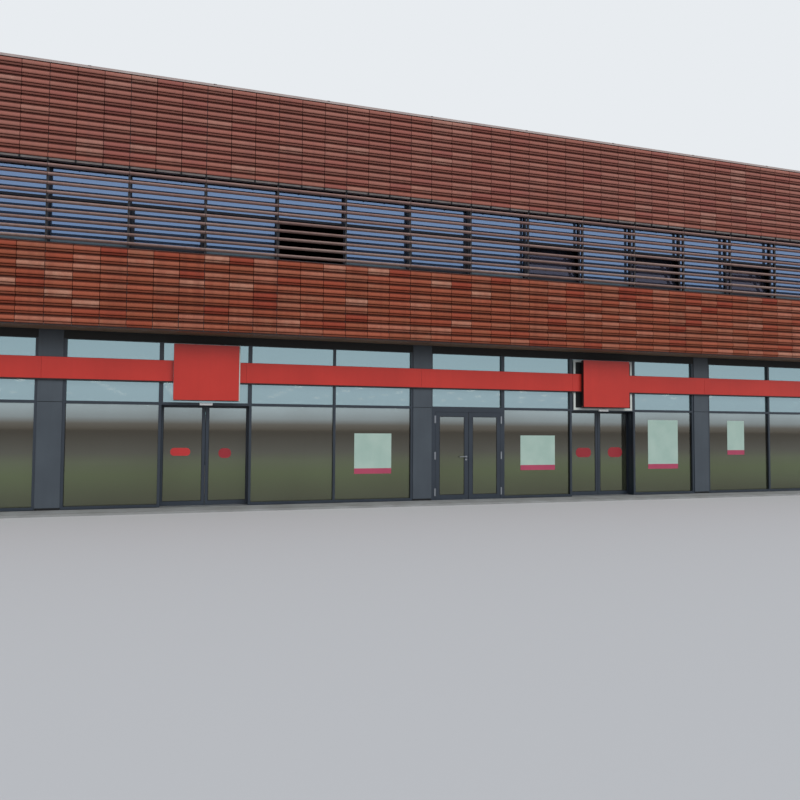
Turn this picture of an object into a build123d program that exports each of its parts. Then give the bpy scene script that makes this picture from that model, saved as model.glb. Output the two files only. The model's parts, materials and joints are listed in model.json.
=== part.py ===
from build123d import *
import os
from collections import namedtuple

# Supermarket building: a glazed ground floor, set back under a storey clad in terracotta rows.
# Millimetres, +Z up. The front faces -Y, and the origin is the middle of the plan at ground level.

# Plan grid
module = 555.0  # one terracotta panel along a wall
bay_panels = 16  # panels to a bay of columns
front_bays = 4
side_bays = 2
edge_panels = 4  # panels beyond the outer column centres, both ends together
recess = 800.0  # cladding face to the columns
column_width = 520.0
column_shift = 50.0  # how far right of the even grid the inner columns of the front stand

# Heights
plinth_height = 50.0  # ground to shop floor
shop_height = 4110.0  # shop floor to soffit
row_pitch = 200.0  # one row of terracotta
lower_rows = 9
ribbon_rows = 9
upper_rows = 11
coping_height = 25.0

# Slabs and walls
lining_thickness = 40.0  # soffit boards and ceiling
upper_slab_thickness = 300.0
roof_slab_thickness = 300.0
roof_drop = 600.0  # coping underside to roof surface
wall_thickness = 300.0

# Terracotta rows, measured inward from the outermost face and up from a row's foot
clad_depth = 60.0
clad_back = 20.0  # the sheet behind the ribs
rail_depth = 60.0
rail_width = 50.0
lower_rib_foot = 6.0
lower_rib_top = 50.0
lower_rib_proud = 22.0
lower_rib_slope = 8.0
upper_rib_foot = 64.0
upper_rib_top = 170.0
upper_rib_shoulder = 22.0  # how far the upper rib stands out at its edges
upper_rib_crown = 40.0  # and over its middle
upper_rib_curve = 26.0  # height of each sloped edge of the crown

# Sun louvres in front of the ribbon windows
louvre_height = 64.0
louvre_depth = 50.0
louvre_nose = 36.0  # flat front of a louvre, under its top edge
louvre_edge = 4.0  # its rounded edges, drawn as chamfers
louvre_level = 96.0  # centre of a louvre above the foot of its row

# Ribbon windows
window_panels = 3
left_end_panels = 3  # solid cladding left of the front ribbon
side_end_panels = 3
window_setback = 240.0  # cladding face to window frame
frame_proud = 50.0  # frame in front of the glass
glass_thickness = 30.0
ribbon_mullion = 55.0
ribbon_head = 80.0
ribbon_sill = 60.0
ribbon_transom = 56.0
ribbon_transom_level = 1051.0  # above the ribbon's foot
sash_stile = 95.0
sash_lap = 15.0  # sash over the inner face of the frame, all round
seat_gap = 0.3
sash_depth = 60.0
sash_tilt = 14.0  # degrees, a sash tilted inwards at its top
turned_sash = 2  # this sash of the front stands wide open
tilted_sashes = (4, 5, 6)
first_sash = 6  # windows from the left end to the first sash
sash_count = 6

# Shopfront
modules_per_bay = 4
wide_module = (3, 2325.0)  # this bay of the front starts with a wider module
shop_mullion = 60.0
shop_frame_proud = 60.0
shop_frame_setback = 20.0  # column face to frame
shop_head = 210.0
shop_sill = 70.0
shop_transom = 60.0
shop_transom_level = 2450.0  # above the shop floor
over_door_stile = 30.0

# Red band and boxes above the entrances
band_lift = 503.0  # transom to the band's foot
band_height = 520.0
band_depth = 60.0
box_width = 1500.0
box_lift = 85.0  # transom to a box's foot
box_gap = 250.0  # a box's top to the soffit
box_depth = 120.0
box_chamfer = 12.0

# Doors
entrance_modules = ((1, 1), (2, 2))  # bay and module of each sliding entrance
swing_module = (2, 0)
floor_gap = 8.0
meeting_gap = 12.0
swing_jamb = 50.0  # beside the mullion on the right, and beyond a mullion's width on the left
swing_head = 80.0
swing_gap = 5.0
swing_depth = 50.0
swing_stile = 115.0
swing_bottom = 125.0
hinge_radius = 12.0
hinge_height = 200.0
hinge_gap = 0.5
hinge_levels = (110.0, 1075.0, 2040.0)
hinge_wing = 30.0
lever_radius = 11.0
lever_sides = 8
lever_length = 200.0
lever_level = 1145.0
lever_standoff = 45.0
lever_inset = 65.0
slide_plane = 240.0  # shopfront glass to the sliding leaves
slide_depth = 40.0
slide_stile = 72.0
slide_bottom = 100.0
slide_drop = 10.0  # transom to the top of the sliding leaves
reveal_thickness = 30.0
reveal_gap = 6.0
track_wall = 8.0
track_width = 96.0
track_height = 70.0
track_slot = 24.0
hanger_fin = 12.0
hanger_head = 50.0
hanger_head_height = 24.0
hanger_length = 140.0
runner_gap = 0.3
neck_extra = 6.0
sensor_size = (300.0, 60.0, 45.0)

# Worked out from the values above
length = (front_bays * bay_panels + edge_panels) * module
depth = (side_bays * bay_panels + edge_panels) * module
floor_z = plinth_height
soffit_z = floor_z + shop_height
ribbon_foot_z = soffit_z + lower_rows * row_pitch
ribbon_top_z = ribbon_foot_z + ribbon_rows * row_pitch
roof_edge_z = ribbon_top_z + upper_rows * row_pitch
slab_foot_z = soffit_z + lining_thickness
slab_top_z = slab_foot_z + upper_slab_thickness
roof_top_z = roof_edge_z - roof_drop
wall_face = clad_depth + rail_depth
wall_back = wall_face + wall_thickness
shop_frame_face = recess + shop_frame_setback
shop_glass_face = shop_frame_face + shop_frame_proud
shop_glass_back = shop_glass_face + glass_thickness
window_width = window_panels * module

Wall = namedtuple("Wall", "name panels left_end right_end bays corner posts face section")


def post_line(panels, bays, shift):
    """Centres of the columns along a wall, the inner ones shifted."""
    half = panels * module / 2 - recess - column_width / 2
    inner = [-half + index * 2 * half / bays + shift for index in range(1, bays)]
    return [-half] + inner + [half]


def make_wall(name, panels, ends, bays, corner, shift, middle, along, outward):
    """A wall's two drawing planes: face is along, up, outward; section is inward, up."""
    inward = tuple(-value for value in outward)
    face = Plane(origin=middle, x_dir=along, z_dir=outward)
    section = Plane(origin=middle, x_dir=inward, z_dir=along)
    posts = post_line(panels, bays, shift)
    return Wall(name, panels, ends[0], ends[1], bays, corner, posts, face, section)


front_panels = front_bays * bay_panels + edge_panels
side_panels = side_bays * bay_panels + edge_panels
right_end_panels = (front_panels - left_end_panels) % window_panels or window_panels
front_ends = (left_end_panels, right_end_panels)
side_ends = (side_end_panels, side_end_panels)
walls = (
    make_wall("front", front_panels, front_ends, front_bays, 0, column_shift,
              (0, -depth / 2, 0), (1, 0, 0), (0, -1, 0)),
    make_wall("back", front_panels, front_ends[::-1], front_bays, 0, -column_shift,
              (0, depth / 2, 0), (-1, 0, 0), (0, 1, 0)),
    make_wall("left", side_panels, side_ends, side_bays, 1, 0, (-length / 2, 0, 0), (0, -1, 0), (-1, 0, 0)),
    make_wall("right", side_panels, side_ends, side_bays, 1, 0, (length / 2, 0, 0), (0, 1, 0), (1, 0, 0)),
)
front = walls[0]

os.makedirs("parts", exist_ok=True)


def save(piece, name):
    """Label a finished piece and write it."""
    piece.part.label = name
    export_step(piece.part, f"parts/{name}.step")


def rect(x0, x1, z0, z1, mode=Mode.ADD):
    """A rectangle between two pairs of edges, in the sketch that is open."""
    with Locations(((x0 + x1) / 2, (z0 + z1) / 2)):
        Rectangle(x1 - x0, z1 - z0, mode=mode)


def plate(plane, near, far, x0, x1, z0, z1):
    """A plate on a wall, from depth near to depth far behind the wall's face plane."""
    with BuildSketch(plane.offset(-far)) as outline:
        rect(x0, x1, z0, z1)
    extrude(outline.sketch, amount=far - near)


def half_run(wall, inset):
    """Half of the run of a wall's pieces, where the pieces of a side wall butt the long walls'."""
    return wall.panels * module / 2 - wall.corner * inset


def ribbon_ends(wall):
    """Left and right end of a wall's ribbon window, along the wall."""
    start = -wall.panels * module / 2
    return start + wall.left_end * module, -start - wall.right_end * module


# Slabs

with BuildPart() as floor_slab:
    with BuildSketch(Plane.XY):
        Rectangle(length, depth)
    extrude(amount=plinth_height)
save(floor_slab, "floor_slab")

with BuildPart() as soffit_lining:
    with BuildSketch(Plane.XY.offset(soffit_z)):
        Rectangle(length - 2 * clad_depth, depth - 2 * clad_depth)
    extrude(amount=lining_thickness)
save(soffit_lining, "soffit_lining")

with BuildPart() as upper_floor_slab:
    with BuildSketch(Plane.XY.offset(slab_foot_z)):
        Rectangle(length - 2 * wall_face, depth - 2 * wall_face)
    extrude(amount=upper_slab_thickness)
save(upper_floor_slab, "upper_floor_slab")

with BuildPart() as roof_slab:
    with BuildSketch(Plane.XY.offset(roof_top_z - roof_slab_thickness)):
        Rectangle(length - 2 * wall_back, depth - 2 * wall_back)
    extrude(amount=roof_slab_thickness)
save(roof_slab, "roof_slab")

with BuildPart() as roof_coping:
    with BuildSketch(Plane.XY.offset(roof_edge_z)):
        Rectangle(length, depth)
        Rectangle(length - 2 * wall_back, depth - 2 * wall_back, mode=Mode.SUBTRACT)
    extrude(amount=coping_height)
save(roof_coping, "roof_coping")

# Columns stand between the shop floor and the soffit

side_posts = walls[3].posts
column_places = [
    (x, y) for x in front.posts for y in side_posts
    if x in (front.posts[0], front.posts[-1]) or y in (side_posts[0], side_posts[-1])
]
with BuildPart() as columns:
    with BuildSketch(Plane.XY.offset(floor_z)):
        with Locations(*column_places):
            Rectangle(column_width, column_width)
    extrude(amount=shop_height)
save(columns, "columns")

# Upper storey walls: a band under the ribbon window, one over it, and a pier at each corner

for wall in walls:
    half = half_run(wall, wall_back) - (1 - wall.corner) * wall_face
    with BuildPart() as wall_bands:
        plate(wall.face, wall_face, wall_back, -half, half, slab_top_z, ribbon_foot_z)
        plate(wall.face, wall_face, wall_back, -half, half, ribbon_top_z, roof_edge_z)
    save(wall_bands, f"{wall.name}_wall")

with BuildPart() as corner_piers:
    for wall in walls:
        half = half_run(wall, wall_face) - (1 - wall.corner) * wall_face
        left, right = ribbon_ends(wall)
        plate(wall.face, wall_face, wall_back, -half, left, ribbon_foot_z, ribbon_top_z)
        plate(wall.face, wall_face, wall_back, right, half, ribbon_foot_z, ribbon_top_z)
save(corner_piers, "corner_piers")


# Terracotta rows


def row_section(rows, foot):
    """The outline of a band of rows: a back sheet with a narrow and a wide rounded rib a row."""
    sheet = clad_depth - clad_back
    top = foot + rows * row_pitch
    with BuildLine() as ribs:
        Polyline((sheet, foot), (clad_depth, foot), (clad_depth, top), (sheet, top))
        last = (sheet, top)
        for index in reversed(range(rows)):
            z = foot + index * row_pitch
            shoulder = sheet - upper_rib_shoulder
            crown = sheet - upper_rib_crown
            lower = sheet - lower_rib_proud
            Polyline(
                last,
                (sheet, z + upper_rib_top),
                (shoulder, z + upper_rib_top),
                (crown, z + upper_rib_top - upper_rib_curve),
                (crown, z + upper_rib_foot + upper_rib_curve),
                (shoulder, z + upper_rib_foot),
                (sheet, z + upper_rib_foot),
                (sheet, z + lower_rib_top),
                (lower, z + lower_rib_top - lower_rib_slope),
                (lower, z + lower_rib_foot + lower_rib_slope),
                (sheet, z + lower_rib_foot),
            )
            last = (sheet, z + lower_rib_foot)
        Line(last, (sheet, foot))
    make_face(ribs.edges())


def row_band(wall, x0, x1, rows, foot):
    """Rows of terracotta from x0 to x1 along a wall."""
    with BuildSketch(wall.section.offset((x0 + x1) / 2)) as outline:
        row_section(rows, foot)
    extrude(outline.sketch, amount=(x1 - x0) / 2, both=True)


for wall in walls:
    half = half_run(wall, clad_depth)
    left, right = ribbon_ends(wall)
    with BuildPart() as cladding:
        row_band(wall, -half, half, lower_rows, soffit_z)
        row_band(wall, -half, left, ribbon_rows, ribbon_foot_z)
        row_band(wall, right, half, ribbon_rows, ribbon_foot_z)
        row_band(wall, -half, half, upper_rows, ribbon_top_z)
    save(cladding, f"{wall.name}_terracotta")

    with BuildPart() as louvres:
        with BuildSketch(wall.section.offset((left + right) / 2)):
            nose = clad_depth - louvre_depth
            for index in range(ribbon_rows):
                z = ribbon_foot_z + index * row_pitch + louvre_level
                with BuildLine():
                    top = z + louvre_height / 2
                    foot = z - louvre_height / 2
                    Polyline(
                        (clad_depth, foot),
                        (clad_depth, top),
                        (nose + louvre_edge, top),
                        (nose, top - louvre_edge),
                        (nose, top - louvre_nose),
                        (clad_depth - louvre_edge, foot),
                        close=True,
                    )
                make_face()
        extrude(amount=(right - left) / 2, both=True)
    save(louvres, f"{wall.name}_louvres")

# Upright rails, behind the cladding and free in front of the ribbon windows

with BuildPart() as rails:
    for wall in walls:
        left, right = ribbon_ends(wall)
        windows = round((right - left) / window_width)
        for index in range(windows + 1):
            x = left + index * window_width
            x = min(max(x, left + rail_width / 2), right - rail_width / 2)
            plate(wall.face, clad_depth, wall_face, x - rail_width / 2, x + rail_width / 2,
                  slab_foot_z, roof_edge_z)
save(rails, "louvre_rails")


# Ribbon windows


def light_edges(index, left):
    """Left and right edge of the glass of one ribbon window."""
    x = left + index * window_width
    return x + ribbon_mullion / 2, x + window_width - ribbon_mullion / 2


transom_z = ribbon_foot_z + ribbon_transom_level
lower_light = (ribbon_foot_z + ribbon_sill, transom_z - ribbon_transom / 2)
upper_light = (transom_z + ribbon_transom / 2, ribbon_top_z - ribbon_head)
window_back = window_setback + frame_proud


def ribbon_grid(wall, first, last):
    """One frame round the windows first to last of a wall's ribbon."""
    left, right = ribbon_ends(wall)
    x0 = max(left + first * window_width - ribbon_mullion / 2, left)
    x1 = min(left + (last + 1) * window_width - ribbon_mullion / 2, right)
    if last == round((right - left) / window_width) - 1:
        x1 = right
    with BuildSketch(wall.face.offset(-window_back)) as outline:
        rect(x0, x1, ribbon_foot_z, ribbon_top_z)
        for index in range(first, last + 1):
            a, b = light_edges(index, left)
            rect(a, b, *lower_light, mode=Mode.SUBTRACT)
            rect(a, b, *upper_light, mode=Mode.SUBTRACT)
    extrude(outline.sketch, amount=frame_proud)


sash_windows = [first_sash + 2 * index for index in range(sash_count)]
opened = [sash_windows[turned_sash - 1]] + [sash_windows[index - 1] for index in tilted_sashes]
front_left, front_right = ribbon_ends(front)
front_windows = round((front_right - front_left) / window_width)


def closed_runs(first, last):
    """Runs of closed windows of the front between the opened ones."""
    start = first
    for index in sorted(opened) + [last + 1]:
        if index > start:
            yield start, index - 1
        start = index + 1


with BuildPart() as front_frames:
    for first, last in closed_runs(0, front_windows - 1):
        ribbon_grid(front, first, last)
save(front_frames, "front_ribbon_frames")

with BuildPart() as opened_frames:
    for index in opened:
        ribbon_grid(front, index, index)
save(opened_frames, "opened_window_frames")

for wall in walls[1:]:
    left, right = ribbon_ends(wall)
    with BuildPart() as frames:
        ribbon_grid(wall, 0, round((right - left) / window_width) - 1)
    save(frames, f"{wall.name}_ribbon_frames")

# A sheet of glass closes each ribbon, and on the front it leaves out the opened lower lights

glass_back = window_back + glass_thickness
with BuildPart() as ribbon_glass:
    for wall in walls[1:]:
        plate(wall.face, window_back, glass_back, *ribbon_ends(wall), ribbon_foot_z, ribbon_top_z)
    plate(front.face, window_back, glass_back, front_left, front_right, transom_z, ribbon_top_z)
    for first, last in closed_runs(0, front_windows - 1):
        x0 = light_edges(first, front_left)[0] - ribbon_mullion / 4
        x1 = light_edges(last, front_left)[1] + ribbon_mullion / 4
        plate(front.face, window_back, glass_back, x0, x1, ribbon_foot_z, transom_z - ribbon_transom / 4)
save(ribbon_glass, "ribbon_glass")


# Opening sashes of the front: a frame and its pane, drawn flat at the window and then turned


def sash_plane(index):
    """The face plane of a sash: turned in on its left edge, or tilted in on its foot."""
    corner = (light_edges(index, front_left)[0] - sash_lap, lower_light[0] - sash_lap, 0)
    seat = front.face.offset(-(window_back + seat_gap)).location * Location(corner)
    if index == opened[0]:
        return Plane(seat * Location((sash_depth, 0, 0), (0, 90, 0)))
    return Plane(seat * Location((0, 0, 0), (-sash_tilt, 0, 0)))


sash_width = window_width - ribbon_mullion + 2 * sash_lap
sash_height = lower_light[1] - lower_light[0] + 2 * sash_lap
with BuildPart() as sashes:
    for index in opened:
        with BuildSketch(sash_plane(index).offset(-sash_depth)):
            rect(0, sash_width, 0, sash_height)
            rect(sash_stile, sash_width - sash_stile, sash_stile, sash_height - sash_stile,
                 mode=Mode.SUBTRACT)
        extrude(amount=sash_depth)
save(sashes, "opened_sashes")

with BuildPart() as sash_panes:
    for index in opened:
        with BuildSketch(sash_plane(index).offset(-(sash_depth + glass_thickness) / 2)):
            rect(sash_stile, sash_width - sash_stile, sash_stile, sash_height - sash_stile)
        extrude(amount=glass_thickness)
save(sash_panes, "opened_sash_panes")


# Shopfront


def module_line(wall, bay_index, index):
    """Where a module of a bay starts, between the faces of the bay's columns."""
    start = wall.posts[bay_index] + column_width / 2
    end = wall.posts[bay_index + 1] - column_width / 2
    if wall is front and bay_index == wide_module[0] and index:
        start += wide_module[1]
        return start + (end - start) * (index - 1) / (modules_per_bay - 1)
    return start + (end - start) * index / modules_per_bay


def module_edge(wall, bay_index, index):
    """The two faces of the mullion at the left of a module."""
    x = module_line(wall, bay_index, index)
    if index == 0:
        return x, x + shop_mullion
    if index == modules_per_bay:
        return x - shop_mullion, x
    return x - shop_mullion / 2, x + shop_mullion / 2


shop_transom_z = floor_z + shop_transom_level
low_glass = (floor_z + shop_sill, shop_transom_z - shop_transom / 2)
high_glass = (shop_transom_z + shop_transom / 2, soffit_z - shop_head)


def shop_grid(wall, bay_index, first, last):
    """One frame round the modules first to last of a bay."""
    x0 = module_edge(wall, bay_index, first)[0]
    x1 = module_edge(wall, bay_index, last + 1)[1]
    with BuildSketch(wall.face.offset(-shop_glass_face)) as outline:
        rect(x0, x1, floor_z, soffit_z)
        for index in range(first, last + 1):
            a = module_edge(wall, bay_index, index)[1]
            b = module_edge(wall, bay_index, index + 1)[0]
            rect(a, b, *low_glass, mode=Mode.SUBTRACT)
            rect(a, b, *high_glass, mode=Mode.SUBTRACT)
    extrude(outline.sketch, amount=shop_frame_proud)


def shop_sheet(wall, bay_index, first, last):
    """The sheet of glass behind the frame of the modules first to last of a bay."""
    x0 = module_edge(wall, bay_index, first)[0]
    x1 = module_edge(wall, bay_index, last + 1)[1]
    plate(wall.face, shop_glass_face, shop_glass_back, x0, x1, floor_z, soffit_z)


door_modules = sorted(entrance_modules + (swing_module,))


def fixed_runs(wall):
    """Bay, first and last module of each run of fixed glazing, which the doors interrupt."""
    doors = door_modules if wall is front else []
    for bay_index in range(wall.bays):
        start = 0
        stops = [index for door_bay, index in doors if door_bay == bay_index]
        for index in stops + [modules_per_bay]:
            if index > start:
                yield bay_index, start, index - 1
            start = index + 1


for wall in walls:
    with BuildPart() as shop_frames:
        for run in fixed_runs(wall):
            shop_grid(wall, *run)
    save(shop_frames, f"{wall.name}_shop_frames")


def doorway(place):
    """Clear left and right edge between the pieces beside a door's module."""
    bay_index, index = place
    left = module_edge(front, bay_index, index)[0 if index == 0 else 1]
    right = module_edge(front, bay_index, index + 1)[1 if index + 1 == modules_per_bay else 0]
    return left, right


with BuildPart() as over_door_frames:
    for place in door_modules:
        a, b = doorway(place)
        with BuildSketch(front.face.offset(-shop_glass_face)):
            rect(a, b, low_glass[1], soffit_z)
            rect(a + over_door_stile, b - over_door_stile, *high_glass, mode=Mode.SUBTRACT)
        extrude(amount=shop_frame_proud)
save(over_door_frames, "over_door_frames")

with BuildPart() as shop_glass:
    for wall in walls:
        for run in fixed_runs(wall):
            shop_sheet(wall, *run)
    for place in door_modules:
        a, b = doorway(place)
        plate(front.face, shop_glass_face, shop_glass_back, a + over_door_stile / 2, b - over_door_stile / 2,
              high_glass[0] - shop_transom / 2, soffit_z)
save(shop_glass, "shop_glass")

# Red band across the front, on the columns, and a box over each sliding entrance

band_z = shop_transom_z + band_lift
band_half = front.posts[-1] + column_width / 2
band_front = recess - band_depth
with BuildPart() as red_band:
    plate(front.face, band_front, recess, -band_half, band_half, band_z, band_z + band_height)
save(red_band, "red_band")

with BuildPart() as red_boxes:
    for place in entrance_modules:
        middle = sum(doorway(place)) / 2
        plate(front.face, band_front - box_depth, band_front, middle - box_width / 2, middle + box_width / 2,
              shop_transom_z + box_lift, soffit_z - box_gap)
    chamfer(red_boxes.edges().filter_by(Axis.Y), box_chamfer)
save(red_boxes, "red_boxes")

# Swing doors: a frame, six hinges and two leaves that open outwards, the left one with a lever handle

swing_left, swing_right = doorway(swing_module)
swing_top = low_glass[1]
frame_left = swing_left + shop_mullion + swing_jamb
frame_right = swing_right - swing_jamb
with BuildPart() as swing_frame:
    with BuildSketch(front.face.offset(-(shop_frame_face + swing_depth))):
        rect(swing_left, swing_right, floor_z, swing_top)
        rect(frame_left, frame_right, floor_z, swing_top - swing_head, mode=Mode.SUBTRACT)
    extrude(amount=swing_depth)
save(swing_frame, "swing_door_frame")

leaf_foot = floor_z + floor_gap
leaf_top = swing_top - swing_head - swing_gap
leaf_width = (frame_right - frame_left - 2 * swing_gap - meeting_gap) / 2
hinge_axis_depth = shop_frame_face - hinge_radius - hinge_gap
sides = {"left": (frame_left, 1), "right": (frame_right, -1)}

with BuildPart() as hinges:
    for edge, side in sides.values():
        axis_x = edge + side * swing_gap / 2
        for level in hinge_levels:
            foot = floor_z + level
            spot = front.face.origin + front.face.x_dir * axis_x - front.face.z_dir * hinge_axis_depth
            with BuildSketch(Plane(origin=(spot.X, spot.Y, foot))):
                Circle(hinge_radius)
                with Locations((-side * hinge_wing / 2, (hinge_radius + hinge_gap) / 2)):
                    Rectangle(hinge_wing, hinge_radius + hinge_gap)
            extrude(amount=hinge_height)
save(hinges, "swing_door_hinges")

for name, (edge, side) in sides.items():
    near = edge + side * swing_gap
    far = near + side * leaf_width
    x0, x1 = min(near, far), max(near, far)
    with BuildPart() as leaf:
        with BuildSketch(front.face.offset(-(shop_frame_face + swing_depth))):
            rect(x0, x1, leaf_foot, leaf_top)
            rect(x0 + swing_stile, x1 - swing_stile, leaf_foot + swing_bottom, leaf_top - swing_stile,
                 mode=Mode.SUBTRACT)
        extrude(amount=swing_depth)
        if name == "left":
            lever_x = far - side * lever_inset
            with BuildSketch(front.face.offset(-shop_frame_face)):
                with Locations((lever_x, floor_z + lever_level)):
                    RegularPolygon(lever_radius, lever_sides)
            extrude(amount=lever_standoff)
            with BuildSketch(front.section.offset(lever_x)):
                with Locations((shop_frame_face - lever_standoff, floor_z + lever_level)):
                    RegularPolygon(lever_radius, lever_sides)
            extrude(amount=-side * lever_length)
    save(leaf, f"swing_leaf_{name}")
    with BuildPart() as pane:
        middle = shop_frame_face + swing_depth / 2
        plate(front.face, middle - glass_thickness / 2, middle + glass_thickness / 2,
              x0 + swing_stile, x1 - swing_stile, leaf_foot + swing_bottom, leaf_top - swing_stile)
    save(pane, f"swing_pane_{name}")

# Sliding entrances: reveals and a track on the inside, and two leaves that hang in the track

slide_middle = shop_glass_face + slide_plane
slide_front = slide_middle - slide_depth / 2
slide_back = slide_middle + slide_depth / 2
slide_top = shop_transom_z - slide_drop + floor_gap
track_foot = slide_top + neck_extra
track_top = track_foot + track_height
lip_top = track_foot + track_wall

with BuildPart() as reveals:
    for place in entrance_modules:
        a, b = doorway(place)
        for x0, x1 in ((a - reveal_thickness, a), (b, b + reveal_thickness)):
            plate(front.face, shop_glass_back, slide_front - reveal_gap, x0, x1, floor_z, track_foot)
        plate(front.face, shop_glass_back, slide_middle - track_width / 2, a - reveal_thickness,
              b + reveal_thickness, track_foot, track_top)
save(reveals, "entrance_reveals")

entrance_left, entrance_right = doorway(entrance_modules[0])
slide_width = (entrance_right - entrance_left - meeting_gap) / 2 + reveal_thickness
track_half = 2 * slide_width + meeting_gap
with BuildPart() as tracks:
    for place in entrance_modules:
        with BuildSketch(front.section.offset(sum(doorway(place)) / 2)):
            rect(slide_middle - track_width / 2, slide_middle + track_width / 2, track_foot, track_top)
            rect(slide_middle - track_width / 2 + track_wall, slide_middle + track_width / 2 - track_wall,
                 lip_top, track_top - track_wall, mode=Mode.SUBTRACT)
            rect(slide_middle - track_slot / 2, slide_middle + track_slot / 2, track_foot, lip_top,
                 mode=Mode.SUBTRACT)
        extrude(amount=track_half, both=True)
save(tracks, "entrance_tracks")

for label, place in zip(("left", "right"), entrance_modules):
    middle = sum(doorway(place)) / 2
    for name, side in (("left", -1), ("right", 1)):
        near = middle + side * meeting_gap / 2
        far = near + side * slide_width
        x0, x1 = min(near, far), max(near, far)
        with BuildPart() as leaf:
            with BuildSketch(front.face.offset(-slide_back)):
                rect(x0, x1, leaf_foot, slide_top)
                rect(x0 + slide_stile, x1 - slide_stile, leaf_foot + slide_bottom, slide_top - slide_stile,
                     mode=Mode.SUBTRACT)
            extrude(amount=slide_depth)
            for x in (x0 + hanger_length, x1 - hanger_length):
                with BuildSketch(front.section.offset(x)):
                    rect(slide_middle - hanger_fin / 2, slide_middle + hanger_fin / 2, slide_top,
                         lip_top + runner_gap + hanger_head_height)
                    rect(slide_middle - hanger_head / 2, slide_middle + hanger_head / 2,
                         lip_top + runner_gap, lip_top + runner_gap + hanger_head_height)
                extrude(amount=hanger_length / 2, both=True)
        save(leaf, f"{label}_entrance_leaf_{name}")
        with BuildPart() as pane:
            plate(front.face, slide_middle - slide_depth / 4, slide_middle + slide_depth / 4,
                  x0 + slide_stile, x1 - slide_stile, leaf_foot + slide_bottom, slide_top - slide_stile)
        save(pane, f"{label}_entrance_pane_{name}")

# Motion sensors on the transom over each sliding entrance

with BuildPart() as sensors:
    for place in entrance_modules:
        middle = sum(doorway(place)) / 2
        width, height, proud = sensor_size
        plate(front.face, shop_frame_face - proud, shop_frame_face, middle - width / 2, middle + width / 2,
              shop_transom_z - height / 2, shop_transom_z + height / 2)
save(sensors, "door_sensors")
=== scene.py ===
import json
import math
import random
from collections import namedtuple

import bmesh
import bpy
from mathutils import Matrix, Vector


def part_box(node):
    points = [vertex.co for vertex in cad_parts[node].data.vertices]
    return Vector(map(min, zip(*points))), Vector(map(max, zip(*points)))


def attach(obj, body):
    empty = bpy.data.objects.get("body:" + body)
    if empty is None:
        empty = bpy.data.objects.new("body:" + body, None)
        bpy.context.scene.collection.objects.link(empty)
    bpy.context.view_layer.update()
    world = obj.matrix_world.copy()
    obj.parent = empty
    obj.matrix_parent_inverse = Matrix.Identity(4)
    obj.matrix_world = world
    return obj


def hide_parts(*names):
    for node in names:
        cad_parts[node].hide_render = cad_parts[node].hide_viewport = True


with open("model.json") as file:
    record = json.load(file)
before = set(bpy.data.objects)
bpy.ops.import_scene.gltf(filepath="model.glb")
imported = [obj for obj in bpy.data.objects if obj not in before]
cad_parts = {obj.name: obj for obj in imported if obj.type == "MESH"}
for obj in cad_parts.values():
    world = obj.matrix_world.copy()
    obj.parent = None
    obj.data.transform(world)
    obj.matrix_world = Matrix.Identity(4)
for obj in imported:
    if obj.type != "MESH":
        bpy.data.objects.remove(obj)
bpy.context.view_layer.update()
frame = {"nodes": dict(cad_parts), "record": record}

# Supermarket building, in metres. The front faces -Y and the ground is z = 0.

# Sizes that the part has too
module = 0.555
bay_panels = 16
front_bays = 4
side_bays = 2
edge_panels = 4
column_width = 0.52
column_shift = 0.05
row_pitch = 0.2
lower_rows = 9
ribbon_rows = 9
upper_rows = 11
clad_depth = 0.06
wall_back = 0.42
left_end_panels = 3
side_end_panels = 3
window_panels = 3
window_face = 0.24
window_back = 0.29
ribbon_mullion = 0.055
ribbon_head = 0.08
ribbon_sill = 0.06
ribbon_transom = 0.056
ribbon_transom_level = 1.051
louvre_level = 0.096
louvre_height = 0.064
louvre_depth = 0.05
louvre_nose = 0.036
recess = 0.8
frame_face = 0.82
shop_glass_face = 0.88
shop_glass_back = 0.91
shop_mullion = 0.06
shop_head = 0.21
shop_sill = 0.07
shop_transom = 0.06
shop_transom_level = 2.45
over_door_stile = 0.03
modules_per_bay = 4
wide_module = (3, 2.325)
entrance_modules = ((1, 1), (2, 2))
swing_module = (2, 0)
red_box_width = 1.5
opened_windows = (8, 12, 14, 16)
closed_sash_windows = (6, 10)

# Worked out from the frame and the sizes above
floor_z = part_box("floor_slab")[1].z
soffit_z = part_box("soffit_lining")[0].z
roof_edge_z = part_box("roof_coping")[0].z
coping_top_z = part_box("roof_coping")[1].z
roof_top_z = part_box("roof_slab")[1].z
ribbon_foot_z = soffit_z + lower_rows * row_pitch
ribbon_top_z = ribbon_foot_z + ribbon_rows * row_pitch
window_width = window_panels * module
front_panels = front_bays * bay_panels + edge_panels
half_length = front_panels * module / 2
half_depth = (side_bays * bay_panels + edge_panels) * module / 2
ribbon_transom_z = ribbon_foot_z + ribbon_transom_level
shop_transom_z = floor_z + shop_transom_level
band_low, band_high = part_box("red_band")
door_modules = entrance_modules + (swing_module,)


def about(middle, width):
    """The two edges of a width round its middle."""
    return middle - width / 2, middle + width / 2


def widened(edges, by):
    """Two edges moved apart, or together where by is negative."""
    return edges[0] - by, edges[1] + by


def beside(edges, width):
    """The bands of a width just outside two edges."""
    return (edges[0] - width, edges[0]), (edges[1], edges[1] + width)


def even_steps(reach, length):
    """Starts of equal steps of about a length, from -reach to reach, and the step itself."""
    count = round(2 * reach / length)
    pitch = 2 * reach / count
    return [-reach + index * pitch for index in range(count)], pitch


# Half is half the run of a wall's cladding, which on the sides stops short of the wall's reach
Wall = namedtuple("Wall", "name bays panels left_end right_end posts reach half matrix")


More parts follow.
